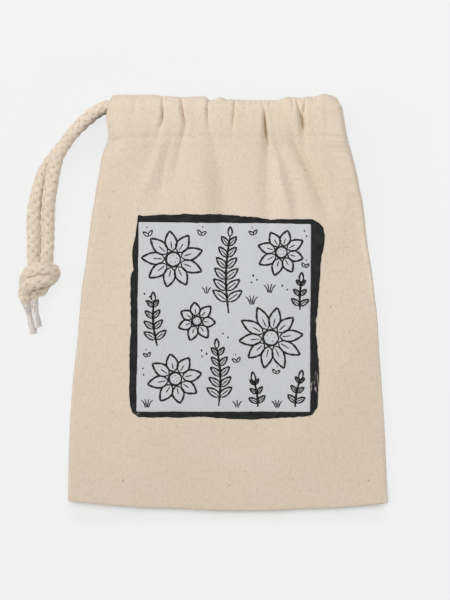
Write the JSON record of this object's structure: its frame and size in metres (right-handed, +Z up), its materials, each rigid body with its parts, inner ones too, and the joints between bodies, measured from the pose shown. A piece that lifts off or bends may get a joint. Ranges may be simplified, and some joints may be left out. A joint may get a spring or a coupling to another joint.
{
  "type": "drawstring bag",
  "caption": "Small cotton drawstring gift bag with a gathered casing, a knotted braided cord drawn out at one side and film-tipped cord ends",
  "frame": {"origin": "on the surface that the bag lies on, under the middle of the bag's own outline, without the free cord", "axes": "+Y from the bottom seam to the mouth, +Z up from the back to the front, +X away from the side where the cord comes out"},
  "size_m": [0.1741, 0.1958, 0.0222],
  "materials": {
    "cotton_cloth": "unbleached plain weave with small brown flecks",
    "cotton_cord": "matt braid of soft cotton strands",
    "aglet_film": "clear film shrunk over the cord's end"
  },
  "bodies": {
    "bag": {"back_panel": "cotton_cloth", "front_panel": "cotton_cloth", "casing_front": "cotton_cloth", "casing_turn": "cotton_cloth", "casing_back": "cotton_cloth", "side_seam_allowance": "cotton_cloth", "bottom_seam_allowance": "cotton_cloth"},
    "drawcord": {"cord_front_run": "cotton_cord", "cord_turn": "cotton_cord", "cord_back_run": "cotton_cord"},
    "free_cord": {"cord_front_strand": "cotton_cord", "cord_back_strand": "cotton_cord", "knot": "cotton_cord", "cord_tail_left": "cotton_cord", "cord_tail_right": "cotton_cord", "aglet_left": "aglet_film", "aglet_right": "aglet_film"}
  },
  "joints": [
    {"name": "drawcord_pull", "type": "slide", "parent": "bag", "child": "drawcord", "axis": [-1, 0, 0], "range_m": [-0.008, 0.055], "deforming": ["casing_front", "casing_turn", "casing_back"]},
    {"name": "cord_swing", "type": "hinge", "parent": "drawcord", "child": "free_cord", "pos_m": [-0.0605, 0.091, 0], "axis": [0, 0, -1], "range_deg": [0, 90]}
  ]
}
